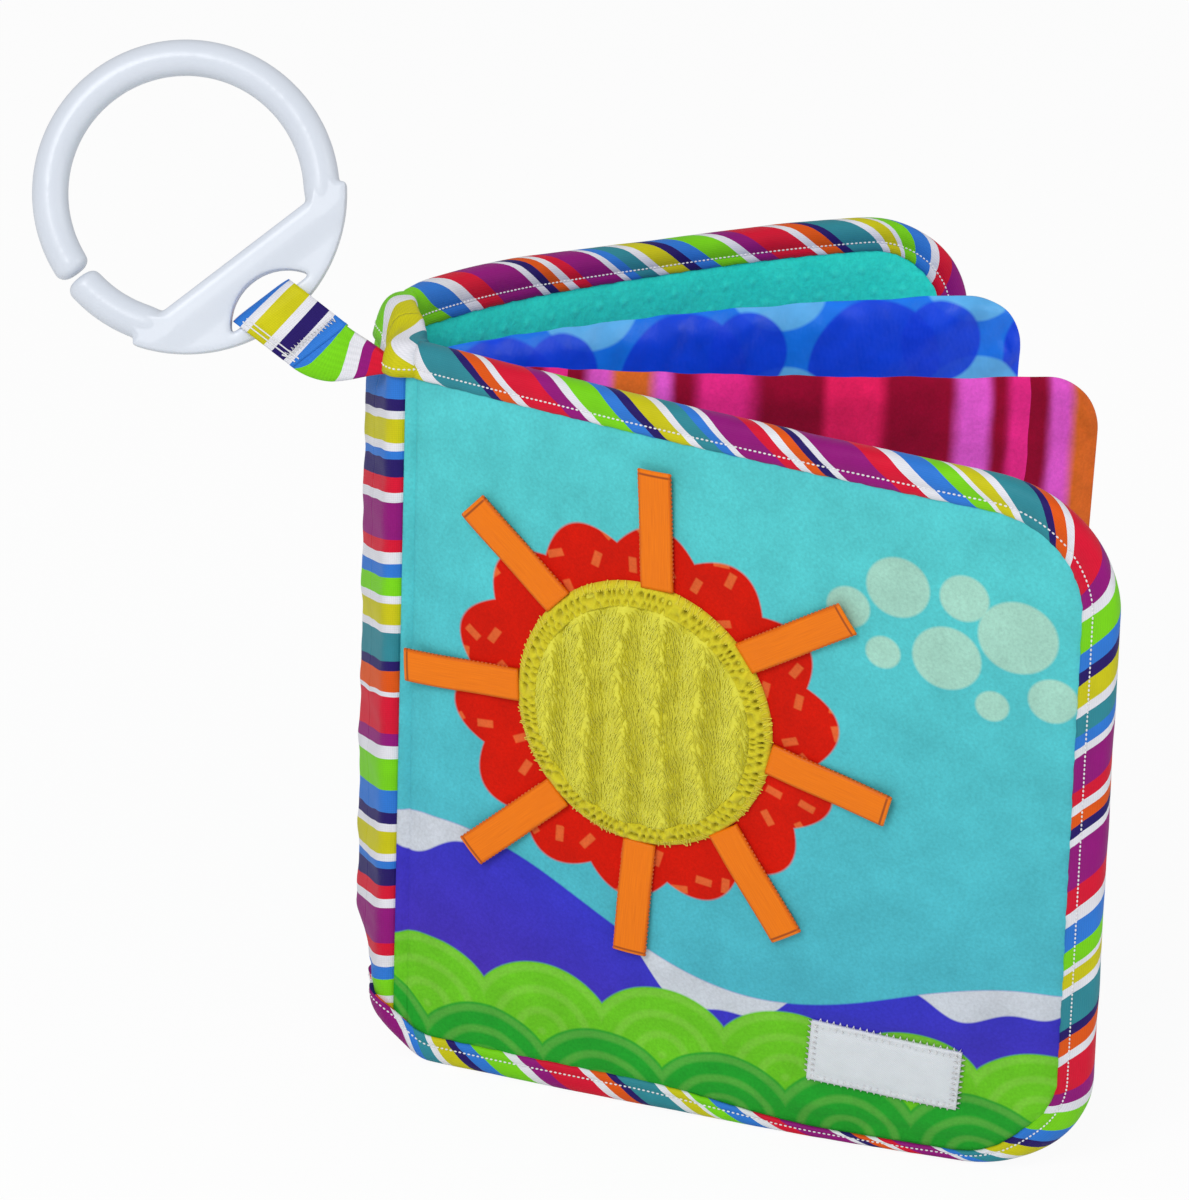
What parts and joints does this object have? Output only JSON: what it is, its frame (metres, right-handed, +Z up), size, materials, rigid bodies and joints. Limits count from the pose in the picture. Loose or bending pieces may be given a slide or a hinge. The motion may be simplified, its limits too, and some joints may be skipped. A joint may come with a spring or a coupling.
{
  "type": "soft activity book",
  "caption": "Padded cloth book with two bound covers, two soft leaves, a plush disc with ribbon tabs on the front, and a fabric loop with a plastic link ring.",
  "frame": {"origin": "middle of the spine's foot, on the surface the book stands on", "axes": "+Z up the spine, +X from the spine towards the free edges of the closed book, the front cover on the -Y side"},
  "size_m": [0.2171, 0.181, 0.219],
  "materials": {
    "striped_cotton": "woven cotton printed with stripes of many colours",
    "printed_velour": "short brushed pile, printed",
    "wadding": "polyester wadding",
    "embossed_pile": "short pile pressed with raised dots",
    "striped_binding": "woven cotton tape cut on the bias, with stripes of many colours",
    "plush": "curly pile with an overlocked edge",
    "satin_ribbon": "satin weave",
    "woven_tape": "woven tape",
    "pink_velour": "brushed velour printed with soft stripes",
    "blue_satin": "printed satin",
    "white_plastic": "moulded, lightly polished"
  },
  "bodies": {
    "spine": {"spine_panel": "striped_cotton", "spine_padding": "wadding", "spine_lining": "embossed_pile", "spine_binding_foot": "striped_binding", "spine_binding_top": "striped_binding"},
    "front_cover": {"front_cover_fold_roll": "striped_cotton", "front_cover_face": "printed_velour", "front_cover_padding": "wadding", "front_cover_lining": "embossed_pile", "front_cover_binding": "striped_binding", "plush_disc": "plush", "woven_label": "woven_tape"},
    "leaf_1": {"leaf_1_front": "pink_velour", "leaf_1_padding": "wadding", "leaf_1_back": "pink_velour"},
    "leaf_2": {"leaf_2_front": "blue_satin", "leaf_2_padding": "wadding", "leaf_2_back": "blue_satin"},
    "back_cover": {"back_cover_fold_roll": "striped_cotton", "back_cover_face": "printed_velour", "back_cover_padding": "wadding", "back_cover_lining": "embossed_pile", "back_cover_binding": "striped_binding"},
    "loop": {"loop_strap": "striped_cotton"},
    "ring": {"link_ring": "white_plastic"},
    "ribbon_tab_1": {"ribbon_tab_1": "satin_ribbon"},
    "ribbon_tab_2": {"ribbon_tab_2": "satin_ribbon"},
    "ribbon_tab_3": {"ribbon_tab_3": "satin_ribbon"},
    "ribbon_tab_4": {"ribbon_tab_4": "satin_ribbon"},
    "ribbon_tab_5": {"ribbon_tab_5": "satin_ribbon"},
    "ribbon_tab_6": {"ribbon_tab_6": "satin_ribbon"},
    "ribbon_tab_7": {"ribbon_tab_7": "satin_ribbon"},
    "ribbon_tab_8": {"ribbon_tab_8": "satin_ribbon"}
  },
  "joints": [
    {"name": "front_cover_turn", "type": "hinge", "parent": "spine", "child": "front_cover", "pos_m": [0, -0.009, 0], "axis": [0, 0, -1], "range_deg": [-29.5, 104]},
    {"name": "leaf_1_turn", "type": "hinge", "parent": "spine", "child": "leaf_1", "pos_m": [0.00585, -0.0028, 0], "axis": [0, 0, -1], "range_deg": [-13.1, 46]},
    {"name": "leaf_2_turn", "type": "hinge", "parent": "spine", "child": "leaf_2", "pos_m": [0.00585, 0.0028, 0], "axis": [0, 0, 1], "range_deg": [-4.8, 32]},
    {"name": "back_cover_turn", "type": "hinge", "parent": "spine", "child": "back_cover", "pos_m": [0, 0.009, 0], "axis": [0, 0, 1], "range_deg": [-17, 116]},
    {"name": "loop_swing", "type": "hinge", "parent": "spine", "child": "loop", "pos_m": [-0.0055, 0, 0.1561], "axis": [0, 1, 0], "range_deg": [-80, 15]},
    {"name": "ring_swing", "type": "hinge", "parent": "loop", "child": "ring", "pos_m": [-0.024, 0.0018, 0.168], "axis": [0.8102, 0.0262, 0.5855], "range_deg": [-75, 75]},
    {"name": "ribbon_tab_1_lift", "type": "hinge", "parent": "front_cover", "child": "ribbon_tab_1", "pos_m": [0.05732, -0.06783, 0.11462], "axis": [0.4742, -0.2964, -0.829], "range_deg": [0, 70], "stiffness_Nm_per_rad": 0.0002},
    {"name": "ribbon_tab_2_lift", "type": "hinge", "parent": "front_cover", "child": "ribbon_tab_2", "pos_m": [0.04196, -0.05547, 0.12587], "axis": [0.7356, -0.6765, 0.0343], "range_deg": [0, 70], "stiffness_Nm_per_rad": 0.0002},
    {"name": "ribbon_tab_3_lift", "type": "hinge", "parent": "front_cover", "child": "ribbon_tab_3", "pos_m": [0.0257, -0.03969, 0.1177], "axis": [0.4701, -0.4924, 0.7325], "range_deg": [0, 70], "stiffness_Nm_per_rad": 0.0002},
    {"name": "ribbon_tab_4_lift", "type": "hinge", "parent": "front_cover", "child": "ribbon_tab_4", "pos_m": [0.01969, -0.03279, 0.09649], "axis": [-0.0592, 0.004, 0.9982], "range_deg": [0, 70], "stiffness_Nm_per_rad": 0.0002},
    {"name": "ribbon_tab_5_lift", "type": "hinge", "parent": "front_cover", "child": "ribbon_tab_5", "pos_m": [0.02741, -0.03833, 0.07359], "axis": [-0.5433, 0.4149, 0.7299], "range_deg": [0, 70], "stiffness_Nm_per_rad": 0.0002},
    {"name": "ribbon_tab_6_lift", "type": "hinge", "parent": "front_cover", "child": "ribbon_tab_6", "pos_m": [0.04235, -0.04991, 0.066], "axis": [-0.7866, 0.6152, 0.052], "range_deg": [0, 70], "stiffness_Nm_per_rad": 0.0002},
    {"name": "ribbon_tab_7_lift", "type": "hinge", "parent": "front_cover", "child": "ribbon_tab_7", "pos_m": [0.05663, -0.06185, 0.07324], "axis": [-0.6238, 0.5514, -0.5539], "range_deg": [0, 70], "stiffness_Nm_per_rad": 0.0002},
    {"name": "ribbon_tab_8_lift", "type": "hinge", "parent": "front_cover", "child": "ribbon_tab_8", "pos_m": [0.06319, -0.06962, 0.09255], "axis": [-0.1173, 0.2328, -0.9654], "range_deg": [0, 70], "stiffness_Nm_per_rad": 0.0002}
  ],
  "couplings": [
    {"joint": "leaf_1_turn", "follows": "front_cover_turn", "ratio": 0.44},
    {"joint": "leaf_2_turn", "follows": "back_cover_turn", "ratio": 0.275}
  ]
}
